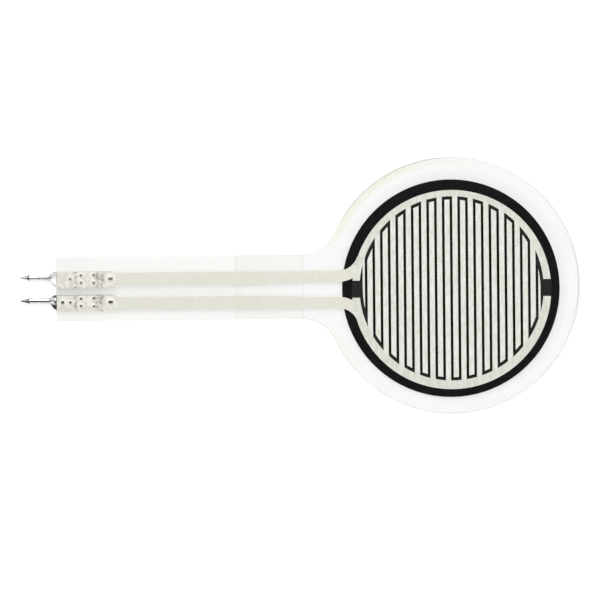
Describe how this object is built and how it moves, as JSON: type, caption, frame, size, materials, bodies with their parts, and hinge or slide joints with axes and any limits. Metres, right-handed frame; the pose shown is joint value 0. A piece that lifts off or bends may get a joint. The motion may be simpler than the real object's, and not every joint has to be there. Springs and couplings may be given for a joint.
{
  "type": "force sensing resistor",
  "caption": "Round thin-film pressure sensor: black resistive disc under interleaved silver combs, clear tail with two printed traces and crimped solder pins.",
  "frame": {"origin": "centre of the sensing disc on its rear, mounting face", "axes": "+X from the tail to the disc, +Y across the sensor, +Z out of the face that is pressed"},
  "size_m": [0.0609, 0.0279, 0.0008],
  "materials": {
    "clear_film": "clear polyester film",
    "adhesive": "pressure-sensitive adhesive, slightly milky",
    "carbon_ink": "screen-printed black carbon ink",
    "silver_ink": "screen-printed silver ink, pale and slightly warm",
    "tinned_sheet": "bright tin plating over rolled sheet"
  },
  "bodies": {
    "root": {"rear_adhesive": "adhesive", "resistive_film": "clear_film", "resistive_ink": "carbon_ink", "spacer_adhesive": "adhesive", "upper_comb": "silver_ink", "lower_comb": "silver_ink", "electrode_film": "clear_film", "upper_solder_tab": "tinned_sheet", "lower_solder_tab": "tinned_sheet"}
  },
  "joints": []
}
